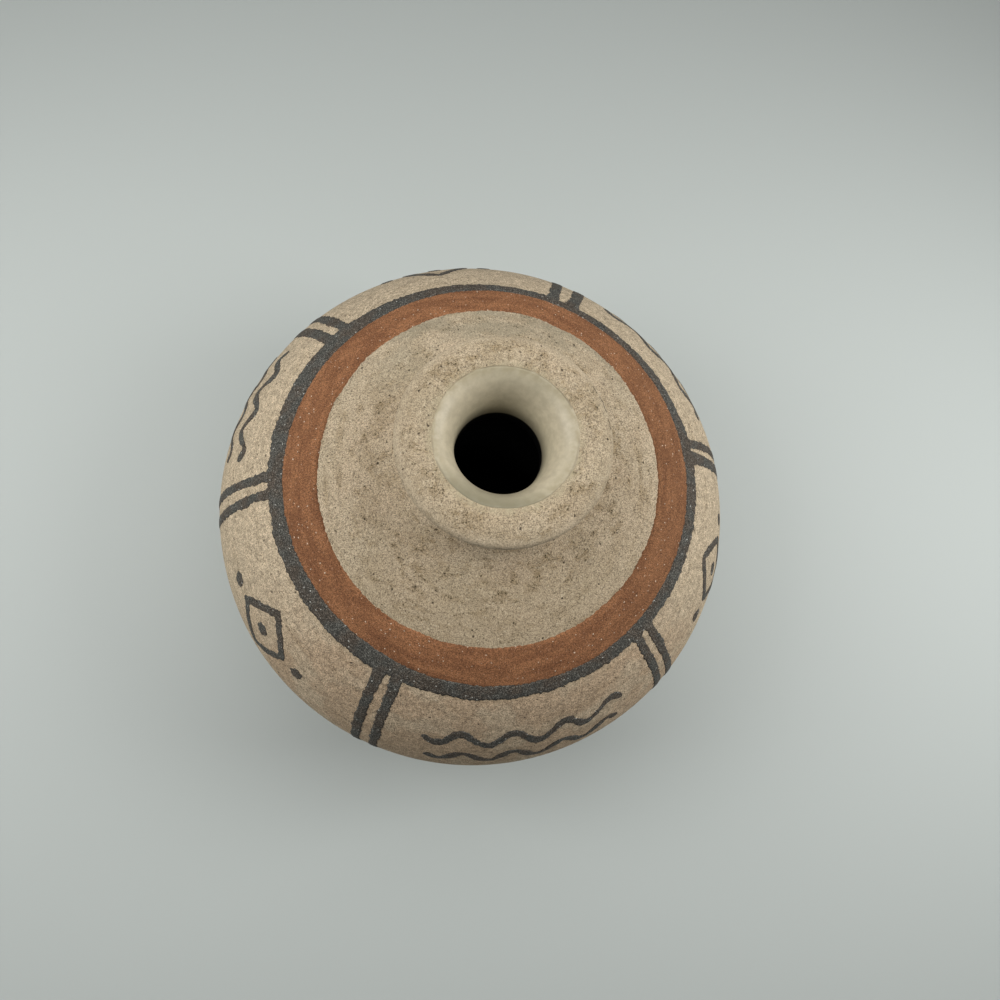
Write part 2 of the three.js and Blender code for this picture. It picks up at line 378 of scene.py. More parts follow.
def inside_line():
    """The clay's surface inside, from the middle of the floor up to the mouth."""
    belly = [belly_point(turn, -wall) for turn in between(-quarter, quarter, belly_steps)]
    neck = arc((crown_radius, waist_height), crown_radius - clay_throat, cove_rise + wall,
               3 * quarter, 2 * quarter, cove_steps)
    return [Vector((0, under_lift + wall)), *belly, *neck[1:], *funnel_line()]


# %% Throw the body
body_steps = (64, 4)
foot_top = 2 * foot_recess


def throw_body():
    shape = spun(foot_line() + belly_line() + neck_line() + inside_line()[::-1], *body_steps)
    shape.normal_update()
    steps = [corner.normal * unevenness(corner.co) + throat_step(corner.co) for corner in shape.verts]
    for corner, step in zip(shape.verts, steps):
        if corner.co.z > foot_top:
            corner.co += step
    return finished(shape, "clay_body_thrown", "clay_body")


body = throw_body()

# %% [markdown]
# ## The glaze lining
# Glaze is poured in, swilled round and poured out, so it coats the whole inside and ends in a
# thin uneven line just inside the mouth. It is a skin of its own here: a front that stands
# off the clay, and a back that lies in it. At its edge it thins away to nothing, so the edge
# has to follow the clay and its unevenness exactly, or it would sink in or float.

# %% Sizes of the lining
glaze_steps = (64, 3)
glaze_sink = 0.08 * mm
glaze_edge_shift = Vector((0, 0.35)) * mm
glaze_edge_lift = 0.02 * mm
glaze_edge_fall = 2.5 * mm
glaze_edge_sway = 0.35 * mm
glaze_edge_length = 9 * mm
slope_step = 0.5 * mm
mouth_line = funnel_line() + rim_top()[-2::-1]


# %% Follow the clay at the edge
def shifted(line, distances):
    """Each point moved to the left of the line by its own distance."""
    moved = []
    for i, place in enumerate(line):
        ahead = line[min(i + 1, len(line) - 1)] - line[max(i - 1, 0)]
        side = Vector((-ahead.y, ahead.x)).normalized()
        moved.append(place + side * distances[i])
    return moved


def near_edge(height):
    """1 at the glaze's edge at the mouth, falling to 0 a little way down."""
    return min(1, max(0, 1 - (mouth_height - height) / glaze_edge_fall))


def clay_rise(radius):
    """The clay's height round the mouth, at a distance from the axis."""
    for inner, outer in zip(mouth_line, mouth_line[1:]):
        if radius < outer.x:
            break
    return inner.y + (outer.y - inner.y) * (radius - inner.x) / (outer.x - inner.x)


def follow_mouth(corner):
    """Moves a corner near the glaze's edge along the clay, and on to its unevenness."""
    near = near_edge(corner.co.z)
    flat = Vector((corner.co.x, corner.co.y))
    radius = flat.length
    strayed = glaze_edge_sway * noise.noise(corner.co / glaze_edge_length)
    strayed += glaze_edge_shift.dot(flat) / radius
    reached = radius + near * strayed
    climbed = clay_rise(reached + slope_step) - clay_rise(reached - slope_step)
    steepness = climbed / (2 * slope_step)
    facing = Vector((-steepness, 1)).normalized() * near * unevenness(corner.co)
    height = corner.co.z + clay_rise(reached) - clay_rise(radius) + facing.y
    flat *= (reached + facing.x) / radius
    corner.co = Vector((flat.x, flat.y, height))


# %% Pour the lining
def pour_lining():
    line = inside_line()
    thinning = glaze_edge_lift - glaze_thickness
    front = shifted(line, [glaze_thickness + thinning * near_edge(place.y) ** 2 for place in line])
    back = shifted(line, [-glaze_sink] * len(line))
    front[0].x = back[0].x = 0
    shape = spun(front + back[::-1], *glaze_steps)
    for corner in shape.verts:
        corner.co += throat_step(corner.co)
        if near_edge(corner.co.z) > 0:
            follow_mouth(corner)
    return finished(shape, "inner_glaze_poured", "inner_glaze")


lining = pour_lining()

# %% [markdown]
# ## Slip on the wall
# Slip is clay as thin as cream, coloured and brushed on. It stands proud by a tenth of a
# millimetre, and its edge is ragged where the brush drags over sand. Each mark starts as a
# flat sheet made by one operator, a grid or a spun ring. Its corners are then laid on the
# wall, and the sheet is extruded a little way into the clay to close it.

# %% How slip lies and strays
slip_lift = 0.14 * mm
slip_sink = 0.08 * mm
edge_thinning = 0.8

waver_length = 8 * mm
drag_length = 2.4 * mm
grain_length = 0.9 * mm
drag_share = 0.5
seed_slant = 2.3

# How far an edge strays: by slow wavering, and by drag and single grains.
thick_edge = (0.3 * mm, 0.3 * mm)
joint_edge = (0.3 * mm, 0.42 * mm)
brush_edge = (0.4 * mm, 0.5 * mm)


# %% Lay a sheet of slip on the wall
def on_wall(azimuth, turn, lift):
    place = belly_point(turn)
    bare = around_axis(azimuth, place.x, place.y)
    return bare + outward(bare) * (unevenness(bare) + lift)


def ragged(place, seed, edge):
    """How far an edge strays at a place. A seed of its own keeps it unlike every other edge."""
    shift = Vector((seed, seed_slant * seed, 0))
    lengths = (waver_length, drag_length, grain_length)
    waver, drag, grain = (noise.noise(place / length + shift) for length in lengths)
    coarse, fine = edge
    return coarse * waver + fine * (drag_share * drag + grain)


def crowned(share):
    """Slip is thickest in the middle of a mark. The share runs from -1 to 1 across it."""
    return slip_lift * (1 - edge_thinning * share ** 4)


def close_underside(shape):
    made = bmesh.ops.extrude_face_region(shape, geom=shape.faces[:])["geom"]
    for corner in made:
        if isinstance(corner, bmesh.types.BMVert):
            corner.co -= outward(corner.co) * (slip_lift + slip_sink)
    bmesh.ops.recalc_face_normals(shape, faces=shape.faces)


def brushed(shape, node):
    close_underside(shape)
    return finished(shape, node + "_brushed", node)


# %% [markdown]
# ## The bands
# A full brush is held still and the wheel turns the pot under it, so a band is nearly even in
# width. It was done by eye: the rings are a little off centre and swell in places. Each swell
# is how many times it comes round, its size, and the azimuth where it is widest.

# %% Edges of the three bands
plain_shoulder = 16.9 * mm
terracotta_width = 9.9 * mm
charcoal_width = 4.2 * mm
terracotta_lap = 0.5 * mm
frieze_drop = 20 * mm
lower_band_height = 4.5 * mm

terracotta_inner = crown_radius + plain_shoulder
charcoal_inner = terracotta_inner + terracotta_width
charcoal_outer = charcoal_inner + charcoal_width

inner_swells = [(1, 0.36 * mm, radians(45)), (2, 0.54 * mm, radians(74)), (3, 0.18 * mm, radians(93))]
joint_swells = [(1, 0.76 * mm, radians(2)), (3, 0.19 * mm, radians(51)), (4, 0.16 * mm, radians(7))]
outer_swells = [(1, 0.1 * mm, radians(-5)), (2, 0.5 * mm, radians(165)), (3, 0.35 * mm, radians(25))]
inner_seed, joint_seed, outer_seed, bottom_seed, frieze_seed = 1, 2, 3, 4, 5


def swollen(radius, swells, azimuth):
    return radius + sum(size * cos(count * (azimuth - widest)) for count, size, widest in swells)


def ragged_ring(radius, azimuth, seed, edge):
    return radius + ragged(around_axis(azimuth, radius, 0), seed, edge)


def terracotta_edges(azimuth):
    inner = ragged_ring(swollen(terracotta_inner, inner_swells, azimuth), azimuth, inner_seed, thick_edge)
    outer = swollen(charcoal_inner, joint_swells, azimuth) + terracotta_lap
    return shoulder_turn(outer), shoulder_turn(inner)


def upper_charcoal_edges(azimuth):
    inner = ragged_ring(swollen(charcoal_inner, joint_swells, azimuth), azimuth, joint_seed, joint_edge)
    outer = ragged_ring(swollen(charcoal_outer, outer_swells, azimuth), azimuth, outer_seed, brush_edge)
    return shoulder_turn(outer), shoulder_turn(inner)


def lower_charcoal_edges(azimuth):
    widest = around_axis(azimuth, belly_radius, 0)
    bottom = frieze_drop + lower_band_height + ragged(widest, bottom_seed, brush_edge)
    top = frieze_drop + ragged(widest, frieze_seed, brush_edge)
    return under_turn_at_drop(bottom), under_turn_at_drop(top)


# %% Brush the bands
band_steps = (120, 9)
terracotta_cells = 12
charcoal_cells = 8
cell_width = 1 * mm
charcoal_over = 0.03 * mm


def brush_band(node, edges, cells, extra_lift):
    """Spins a short wire into a flat ring, then lays it between the two edges of the band."""
    shape = spun([(belly_radius + step * cell_width, 0) for step in range(cells + 1)], *band_steps)
    for corner in shape.verts:
        azimuth = atan2(corner.co.y, corner.co.x)
        share = (hypot(corner.co.x, corner.co.y) - belly_radius) / (cells * cell_width)
        low, high = edges(azimuth)
        lift = crowned(2 * share - 1) + extra_lift
        corner.co = on_wall(azimuth, low + (high - low) * share, lift)
    return brushed(shape, node)


terracotta_pieces = [
    brush_band("terracotta_band", terracotta_edges, terracotta_cells, 0)]
charcoal_pieces = [
    brush_band("upper_charcoal_band", upper_charcoal_edges, charcoal_cells, charcoal_over),
    brush_band("lower_charcoal_band", lower_charcoal_edges, charcoal_cells, 0)]

# %% [markdown]
# ## Brush strokes in the frieze
# Between the two charcoal bands the pot is marked out in panels by pairs of bars, each drawn
# free-hand in one stroke downwards. The brush is set down, spreads, drags, and lifts off. A
# stroke is a grid: one side runs along the path, the other from edge to edge.

# %% Places in the frieze
stroke_step = 0.4 * mm
stroke_cells = 8
stroke_end = 0.16
stroke_over = 0.06 * mm
heading_step = 0.002
second_edge_seed = 0.5
top_turn = shoulder_turn(charcoal_outer)
bottom_turn = under_turn_at_drop(frieze_drop)
frieze_curve = (shoulder_rise + crown_reach) / 2


def in_frieze(azimuth, across, down):
    """Azimuth and turn of a place measured across from an azimuth, and down from the band."""
    turn = top_turn - down / frieze_curve
    return azimuth + across / belly_point(turn).x, turn


def in_mark(azimuth, place, side):
    """A place in a stroke or a dot, laid on the wall. The side runs from -1 to 1 across it."""
    return on_wall(*in_frieze(azimuth, place.x, place.y), crowned(side) + stroke_over)


def rounded_end(distance, half_width):
    """The share of the full width at a distance from the stroke's end."""
    if distance >= half_width:
        return 1
    share = 1 - (1 - distance / half_width) ** 2
    return max(stroke_end, share ** 0.5)


def stray(azimuth, place, seed, side=1):
    """How far a mark's edge strays. The two edges of a stroke have seeds of their own."""
    turned, turn = in_frieze(azimuth, place.x, place.y)
    bare = belly_point(turn)
    edge_seed = seed if side > 0 else seed + second_edge_seed
    return ragged(around_axis(turned, bare.x, bare.y), edge_seed, brush_edge)


# %% Lay a stroke along a path
def stroke_sheet(azimuth, path, length, half_width, seed):
    """A grid laid along a path, which gives the place across and down at a share of its length."""
    shape = bmesh.new()
    cells_along = ceil(length / stroke_step)
    bmesh.ops.create_grid(shape, x_segments=cells_along, y_segments=stroke_cells, size=1)
    for corner in shape.verts:
        along, side = (corner.co.x + 1) / 2, corner.co.y
        here = path(along)
        heading = (path(along + heading_step) - path(along - heading_step)).normalized()
        width = half_width(along)
        width *= rounded_end(min(along, 1 - along) * length, width)
        width += abs(side) * stray(azimuth, here, seed, side)
        place = here + Vector((-heading.y, heading.x)) * side * width
        corner.co = in_mark(azimuth, place, side)
    return shape


# %% [markdown]
# ## The bars
# Twelve bars in six pairs. No two are alike: each has its own azimuth where it leaves the
# upper band, a lean that it gains on the way down, and a load of slip that makes it wide. The
# brush is set down inside the band, so a bar runs into it and is a little wider at its top.

# %% Brush the bars
bar_width = 3.2 * mm
bar_overlap = 2.4 * mm
bar_taper = 0.12
bar_flare = 0.22
bar_flare_reach = 2 * mm
bar_drop = (top_turn - bottom_turn) * frieze_curve
bar_length = bar_drop + 2 * bar_overlap
bar_seed = 10
bars = [
    (7.7, -1, 1.12), (12.1, -3, 0.88),
    (65, 0, 1.15), (71.1, 0, 1.06),
    (133.6, 0.8, 1), (139, -1, 1.15),
    (181, 1.7, 0.9), (185.6, 1.5, 0.9),
    (241.5, 3, 0.97), (246.4, 1.6, 0.9),
    (313.6, 1.6, 0.9), (317.9, 0.8, 0.9),
]


def brush_bar(name, start, lean, load, seed):
    def path(along):
        down = along * bar_length - bar_overlap
        radius = belly_point(top_turn - down / frieze_curve).x
        return Vector((radians(lean) * radius * down / bar_drop, down))

    def half_width(along):
        from_band = max(0, along * bar_length - bar_overlap)
        flare = bar_flare * max(0, 1 - from_band / bar_flare_reach) ** 2
        return bar_width * load / 2 * (1 + bar_taper * (0.5 - along) + flare)

    return brushed(stroke_sheet(radians(start), path, bar_length, half_width, seed), name)


for number, (start, lean, load) in enumerate(bars):
    side = "left" if number % 2 == 0 else "right"
    name = f"bar_{number // 2 + 1}_{side}"
    charcoal_pieces.append(brush_bar(name, start, lean, load, bar_seed + number))

# %% [markdown]
# ## Waves, lozenges and dots
# Each panel holds a plain ornament: two wavy lines, or a lozenge with three dots, by turns.
# A wave is one long stroke. A lozenge closes on itself, so its sheet is a spun ring instead
# of a grid, laid round a path that is a diamond with slightly softened corners. A dot is a
# small disc with a ragged edge.

# %% Find the panels
def panels():
    """The middle and the width of each panel, between one pair of bars and the next."""
    found = []
    for right in range(1, len(bars), 2):
        start = bars[right][0]
        end = bars[right + 1][0] if right + 1 < len(bars) else bars[0][0] + 360
        found.append((radians(start + end) / 2, radians(end - start)))
    return found


print("panels at", [round(degrees(middle)) for middle, angle in panels()])

# %% Brush the waves
line_width = 2.6 * mm
wave_share = 0.62
wave_length = 15 * mm
wave_swing = 2.8 * mm
wave_press = 0.14
wave_load = 1.08
wave_load_lost = 0.16
hand_sway = 0.5 * mm
hand_length = 14 * mm
hand_apart = Vector((0, 7, 3))


def hand(along, seed):
    """Where a free hand strays from the line it means to draw."""
    place = Vector((along / hand_length, seed, 0))
    return Vector((noise.noise(place), noise.noise(place + hand_apart))) * hand_sway


def brush_wave(name, middle, angle, drop, seed):
    width = wave_share * angle * belly_radius
    waves = round(width / wave_length)
    length = width * (1 + (pi * wave_swing * waves / width) ** 2)

    def path(along):
        swing = wave_swing * sin(along * waves * full_turn)
        return Vector((width * (along - 0.5), drop + swing)) + hand(along * width, seed)

    def half_width(along):
        press = 1 + wave_press * sin(along * waves * full_turn * 2 + seed)
        return line_width / 2 * press * (wave_load - wave_load_lost * along)

    return brushed(stroke_sheet(middle, path, length, half_width, seed), name)


# %% Brush the lozenges and the dots
ornament_drop = 22 * mm
lozenge_half = Vector((20, 23)) * mm / 2
lozenge_softness = 1.12
lozenge_steps = (40, 4)
ring_cells = 8
dot_radius = 2.1 * mm
dot_cells = 6
dot_steps = (24, 3)


def signed_power(value, power):
    return abs(value) ** power * (1 if value >= 0 else -1)


def brush_lozenge(name, middle, seed):
    shape = spun([(1 + step / ring_cells, 0) for step in range(ring_cells + 1)], *lozenge_steps)
    for corner in shape.verts:
        angle = atan2(corner.co.y, corner.co.x)
        side = 2 * (hypot(corner.co.x, corner.co.y) - 1) - 1
        x = signed_power(cos(angle), 2 / lozenge_softness)
        y = signed_power(sin(angle), 2 / lozenge_softness)
        facing = Vector((signed_power(x, lozenge_softness - 1) / lozenge_half.x,
                         signed_power(y, lozenge_softness - 1) / lozenge_half.y)).normalized()
        here = Vector((x * lozenge_half.x, ornament_drop + y * lozenge_half.y))
        here += hand(here.x + here.y, seed)
        width = line_width / 2 + abs(side) * stray(middle, here, seed, side)
        corner.co = in_mark(middle, here + facing * side * width, side)
    return brushed(shape, name)


def brush_dot(name, middle, across, seed):
    shape = spun([(step / dot_cells, 0) for step in range(dot_cells + 1)], *dot_steps)
    centre = Vector((across, ornament_drop))
    for corner in shape.verts:
        flat = Vector((corner.co.x, corner.co.y))
        reach = dot_radius + stray(middle, centre + flat * dot_radius, seed)
        corner.co = in_mark(middle, centre + flat * reach, flat.length)
    return brushed(shape, name)


# %% Fill the panels
wave_spacing = 11 * mm
dot_spacing = 16.5 * mm
panel_seed = 30
panel_seed_step = 4

for number, (middle, angle) in enumerate(panels(), 1):
    seed = panel_seed + panel_seed_step * number
    if number % 2 == 1:
        for name, side in (("upper", -1), ("lower", 1)):
            drop = ornament_drop + side * wave_spacing / 2
            wave = brush_wave(f"wave_{number}_{name}", middle, angle, drop, seed + side)
            charcoal_pieces.append(wave)
    else:
        charcoal_pieces.append(brush_lozenge(f"lozenge_{number}", middle, seed))
        for name, across in (("middle", 0), ("right", dot_spacing), ("left", -dot_spacing)):
            dot = brush_dot(f"dot_{number}_{name}", middle, across, seed + across / mm)
            charcoal_pieces.append(dot)

# %% [markdown]
# ## Building finishes from nodes
# Every finish is a small tree of nodes on Object coordinates, counted in millimetres, so a
# grain of sand has the size of a grain of sand. Helpers keep the trees short: one adds a node
# and joins its inputs, and others make the patterns of fired clay.

# %% Add and join nodes
def add(tree, kind, inputs=None, **settings):
    node = tree.nodes.new("ShaderNode" + kind)
    for name, value in settings.items():
        setattr(node, name, value)
    for name, value in (inputs or {}).items():
        if isinstance(value, bpy.types.NodeSocket):
            tree.links.new(value, node.inputs[name])
        else:
            node.inputs[name].default_value = value
    return node


def reckon(tree, operation, first, second=0.0):
    return add(tree, "Math", {0: first, 1: second}, operation=operation).outputs[0]


def times(tree, first, *others):
    for other in others:
        first = reckon(tree, "MULTIPLY", first, other)
    return first


def vectors(tree, operation, first, second):
    """Adds, subtracts or scales vectors. The second is the scale when they are scaled."""
    inputs = {0: first, "Scale" if operation == "SCALE" else 1: second}
    return add(tree, "VectorMath", inputs, operation=operation).outputs[0]


def toward(tree, place, direction):
    """How far a place lies in a direction."""
    return add(tree, "VectorMath", {0: place, 1: direction}, operation="DOT_PRODUCT").outputs[1]


# %% Fade and blend
def fade(tree, value, start, end, low=0.0, high=1.0):
    """Runs smoothly from low to high while the value goes from start to end."""
    inputs = {"Value": value, "From Min": start, "From Max": end, "To Min": low, "To Max": high}
    return add(tree, "MapRange", inputs, interpolation_type="SMOOTHSTEP").outputs[0]


def blend(tree, share, first, second, kind="MIX"):
    inputs = {0: share, 6: first, 7: second}
    return add(tree, "Mix", inputs, data_type="RGBA", blend_type=kind).outputs[2]


def colour(hexadecimal):
    """A colour as the screen shows it, turned into the light that it reflects."""
    parts = [int(hexadecimal[i:i + 2], 16) / 255 for i in (0, 2, 4)]
    return [*[p / 12.92 if p <= 0.04045 else ((p + 0.055) / 1.055) ** 2.4 for p in parts], 1]


def tones(**shown):
    return {name: colour(hexadecimal) for name, hexadecimal in shown.items()}


# %% Patterns of fired clay
noise_span = (0.28, 0.72)
finest_grain = 0.27


def cloud(tree, place, length, detail=2, roughness=0.5):
    """Soft noise whose blotches are about so many millimetres across. It is mostly near 0.5."""
    inputs = {"Vector": place, "Scale": 1 / length, "Detail": detail, "Roughness": roughness}
    return add(tree, "TexNoise", inputs).outputs[0]


def patches(tree, noisy, limits, strengths=(0, 1)):
    """Parts the values of a noise at its limits, and gives each part its strength."""
    return fade(tree, noisy, *limits, *strengths)


def shaded(tree, base, noisy, strengths, limits=noise_span):
    """Darkens and lightens a colour by a noise."""
    share = patches(tree, noisy, limits, strengths)
    grey = add(tree, "CombineColor", {0: share, 1: share, 2: share}).outputs[0]
    return blend(tree, 1.0, base, grey, "MULTIPLY")


def fine_sand(tree, place):
    return cloud(tree, place, finest_grain, 2, 0.6)


# %% Strew grains
crumb_length = 0.4
crumb_reach = 0.5


def crumbled(tree, place):
    """Coordinates shaken a little, so that round specks come out as broken grains."""
    inputs = {"Vector": place, "Scale": 1 / crumb_length, "Detail": 1.0}
    shake = add(tree, "TexNoise", inputs).outputs[1]
    centred = vectors(tree, "SUBTRACT", shake, (0.5, 0.5, 0.5))
    return vectors(tree, "ADD", place, vectors(tree, "SCALE", centred, crumb_reach))


def specks(tree, place, spacing, size, share):
    """Grains so far apart and so large, of which only a share shows. 1 on a grain, else 0."""
    cells = add(tree, "TexVoronoi", {"Vector": place, "Scale": 1 / spacing})
    near = fade(tree, cells.outputs["Distance"], size / spacing, 0.5 * size / spacing)
    lot = add(tree, "SeparateColor", {"Color": cells.outputs["Color"]}).outputs[0]
    return times(tree, near, reckon(tree, "LESS_THAN", lot, share))


def sprinkled(tree, base, place, grains):
    """Strews kinds of grain over a colour. Gives the colour and where the last kind lies."""
    for spacing, size, share, strength, tone in grains:
        strewn = specks(tree, place, spacing, size, share)
        base = blend(tree, times(tree, strewn, strength), base, colour(tone))
    return base, strewn


# %% Start and finish a material
def plain_finish(name, roughness, specular):
    finish = bpy.data.materials.new(name)
    finish.use_nodes = True
    shader = finish.node_tree.nodes["Principled BSDF"]
    shader.inputs["Roughness"].default_value = roughness
    shader.inputs["Specular IOR Level"].default_value = specular
    return finish, shader


def new_finish(name, roughness, specular):
    """A plain finish, its tree and shader, and the place in millimetres."""
    finish, shader = plain_finish(name, roughness, specular)
    tree = finish.node_tree
    in_metres = add(tree, "TexCoord").outputs["Object"]
    return finish, tree, shader, vectors(tree, "SCALE", in_metres, 1 / mm)


def coat(tree, shader, tone, relief, depth):
    """Joins the colour, and a pattern as relief of so many metres."""
    tree.links.new(tone, shader.inputs["Base Color"])
    bump = add(tree, "Bump", {"Height": relief, "Strength": 1.0, "Distance": depth})
    tree.links.new(bump.outputs[0], shader.inputs["Normal"])


def spot_on_pot(tree, place):
    """A place's coordinates, its distance from the axis and its direction from there."""
    x, y, height = add(tree, "SeparateXYZ", {"Vector": place}).outputs[:]
    flat = add(tree, "CombineXYZ", {"X": x, "Y": y}).outputs[0]
    radius = add(tree, "VectorMath", {0: flat}, operation="LENGTH").outputs[1]
    facing = add(tree, "VectorMath", {0: flat}, operation="NORMALIZE").outputs[0]
    return {"x": x, "y": y, "height": height, "radius": radius, "facing": facing}


def wheel_streaks(tree, spot, circle):
    """Coordinates in which a pattern is drawn out along the turn of the wheel."""
    half = reckon(tree, "SIGN", reckon(tree, "SUBTRACT", spot["height"], belly_height / mm))
    inward = reckon(tree, "SUBTRACT", belly_radius / mm, spot["radius"])
    along = reckon(tree, "ADD", spot["height"], times(tree, half, inward))
    rise = add(tree, "CombineXYZ", {"Z": reckon(tree, "SUBTRACT", along, belly_radius / mm)})
    return vectors(tree, "ADD", vectors(tree, "SCALE", spot["facing"], circle), rise.outputs[0])


# %% [markdown]
# ## Sandy clay
# The clay is a pale stoneware full of sand. Close to, it is a crowd of grains: pinkish cream,
# with dark iron specks and pits. Further off it has grey-brown blotches, drawn out along the
# turn of the wheel and gathered round the neck. Painted shade makes the far side of the shoulder
# greyer and the near side browner, most under the rim, and the rim is darker on its left. The
# frieze was scraped smoother, so it is warmer and shows fewer dark grains, and its near side
# has a warm painted shade. The lip is worn, with a painted shadow line along its edge on the
# right, and glaze has stained the rim beside the mouth.

# %% Tones and places of the sandy clay
# The warm, far and near tones are painted shade, and near also darkens the rim's left. The dark tone marks
# pits and a painted shadow line on the lip.
clay = tones(
    cream="aea188", pink="b5a187", scraped="b9a88e", worn="ddd0b6",
    blotch="7d6a4b", warm="f5ece7", far="837c68", near="7a6b50",
    dust="4e432f", iron="443a25", stain="b3a78a", dark="30271c",
)
quartz_grains = [(0.9, 0.26, 0.4, 0.4, "dccfb4")]

# Heights and radii, in mm, at which a change begins and is complete.
frieze_top = (101, 97)
shoulder_top = (124, 118)
rim_starts = (waist_height / mm, rim_height / mm)
rim_left = (130, 136)
toward_neck = (50, 36)
under_the_rim = (46, 36)
worn_lip = (24, 26.4)
beside_mouth = (20.5, 17.5)
# Radius and azimuths of a painted shadow line along the lip's edge.
lip_shadow_radius = 26.3
lip_shadow_start = (radians(3), radians(8))
lip_shadow_end = (radians(38), radians(32))


# %% Blotches and grain
def clay_ground(tree, place, spot, streaks, frieze, shoulder):
    """Gives the clay's colour, the colour where it is worn, its blotches and its grain."""
    sand = blend(tree, cloud(tree, place, 16, 3), clay["cream"], clay["pink"])
    sand = blend(tree, frieze, sand, clay["scraped"])
    worn = blend(tree, 0.25, sand, clay["worn"])
    gathered = times(tree, fade(tree, spot["radius"], *toward_neck, 0.65, 1.1),
                     patches(tree, cloud(tree, streaks, 9), (0.38, 0.62), (0.7, 1.15)))
    blotches = patches(tree, cloud(tree, streaks, 3.2, 5, 0.68), (0.48, 0.66))
    blotches = times(tree, blotches, gathered)
    brown = times(tree, blotches, fade(tree, frieze, 0, 1, 0.48, 0.36))
    sand = blend(tree, brown, sand, clay["blotch"])
    broad = patches(tree, cloud(tree, place, 9, 4, 0.6), (0.46, 0.62), (0, 0.22))
    sand = blend(tree, times(tree, broad, gathered, shoulder), sand, clay["blotch"])
    grain = cloud(tree, place, 0.6, 3, 0.7)
    sand = shaded(tree, sand, fine_sand(tree, place), (0.31, 1.38), (0.26, 0.62))
    sand = shaded(tree, sand, grain, (0.7, 1.14), (0.28, 0.6))
    mottled = shaded(tree, sand, cloud(tree, place, 1.8, 5, 0.75), (0.7, 1.2), (0.3, 0.7))
    return blend(tree, frieze, sand, mottled), worn, blotches, grain


# %% Painted shade by side
def painted_shade_by_side(tree, sand, place, spot, streaks, frieze, shoulder):
    """Painted shade: warm on the near frieze, grey on the far shoulder, brown on the near one."""
    x, y, height = spot["x"], spot["y"], spot["height"]
    on_shoulder = fade(tree, height, *shoulder_top)
    uneven = patches(tree, cloud(tree, place, 12), (0.38, 0.6), (0.3, 1.4))
    # Painted shade: a warm darkening on the near side of the frieze.
    warm = times(tree, fade(tree, y, -25, -65), uneven, frieze)
    sand = blend(tree, warm, sand, clay["warm"], "MULTIPLY")
    streaky = patches(tree, cloud(tree, streaks, 6, 3), (0.38, 0.62), (0.4, 1.4))
    # Painted shade: the far side of the shoulder is made greyer.
    far = times(tree, fade(tree, y, 12, 46, 0, 0.42), on_shoulder, streaky, shoulder)
    sand = blend(tree, far, sand, clay["far"])
    # Painted shade: the near side of the shoulder is made browner, most under the rim.
    painted_shade_under_rim = times(tree, fade(tree, spot["radius"], *under_the_rim), fade(tree, y, -24, -36, 0, 0.3))
    near = reckon(tree, "MAXIMUM", fade(tree, y, -14, -48, 0, 0.34), painted_shade_under_rim)
    near = times(tree, near, on_shoulder, shoulder)
    left = times(tree, fade(tree, x, -8, -24, 0.15, 0.26), fade(tree, height, *rim_left))
    return blend(tree, reckon(tree, "MAXIMUM", near, left), sand, clay["near"])


# %% Marks on the rim
def rim_marks(tree, sand, worn_sand, place, spot):
    """Gives the colour with the worn lip and the stain, and the share by which it is worn."""
    on_rim = fade(tree, spot["height"], *rim_starts)
    worn = times(tree, fade(tree, spot["radius"], *worn_lip), on_rim)
    sand = blend(tree, times(tree, worn, 0.3), sand, worn_sand)
    uneven = patches(tree, cloud(tree, place, 2, 3), (0.35, 0.65), (0.1, 0.8))
    stained = times(tree, fade(tree, spot["radius"], *beside_mouth), on_rim, uneven)
    return blend(tree, stained, sand, clay["stain"]), worn


def painted_lip_shadow(tree, place, spot):
    """A broken painted shadow line along the lip's edge, between two azimuths."""
    turn = reckon(tree, "ARCTAN2", spot["y"], spot["x"])
    wander = patches(tree, cloud(tree, place, 3), (0.3, 0.7), (-0.35, 0.35))
    radius = reckon(tree, "ADD", spot["radius"], wander)
    apart = reckon(tree, "ABSOLUTE", reckon(tree, "SUBTRACT", radius, lip_shadow_radius))
    broken = patches(tree, cloud(tree, place, 1.4), (0.42, 0.55))
    return times(tree, fade(tree, turn, *lip_shadow_start), fade(tree, turn, *lip_shadow_end),
                 fade(tree, apart, 0.22, 0.08), broken)


# %% Mix the sandy clay
def mix_sandy_clay():
    finish, tree, shader, place = new_finish("sandy_clay_fired", roughness=0.92, specular=0.25)
    spot = spot_on_pot(tree, place)
    streaks = wheel_streaks(tree, spot, circle=22)
    broken = crumbled(tree, place)
    frieze = fade(tree, spot["height"], *frieze_top)
    shoulder = fade(tree, frieze, 1, 0)
    sand, worn_sand, blotches, grain = clay_ground(tree, place, spot, streaks, frieze, shoulder)
    sand = painted_shade_by_side(tree, sand, place, spot, streaks, frieze, shoulder)
    dust = specks(tree, broken, spacing=0.5, size=0.2, share=0.4)
    dusty = reckon(tree, "MAXIMUM", fade(tree, blotches, 0, 1, 0.2, 0.85), fade(tree, frieze, 0, 1, 0, 0.5))
    sand = blend(tree, times(tree, dust, dusty), sand, clay["dust"])
    iron = specks(tree, broken, spacing=0.8, size=0.3, share=fade(tree, frieze, 0, 1, 0.5, 0.4))
    rusty = fade(tree, blotches, 0, 1, 0.4, 0.9)
    sand = blend(tree, times(tree, iron, rusty), sand, clay["iron"])
    sand = sprinkled(tree, sand, broken, quartz_grains)[0]
    sand, worn = rim_marks(tree, sand, worn_sand, place, spot)
    pits = specks(tree, broken, spacing=2.7, size=0.42, share=0.36)
    # A painted shadow line along the lip's edge on the right.
    lip_shadow_mark = times(tree, painted_lip_shadow(tree, place, spot), worn)
    for mark in (pits, lip_shadow_mark):
        sand = blend(tree, times(tree, mark, 0.85), sand, clay["dark"])
    relief = reckon(tree, "SUBTRACT", grain, reckon(tree, "ADD", times(tree, iron, 0.5), pits))
    coat(tree, shader, sand, relief, depth=0.12 * mm)
    return finish
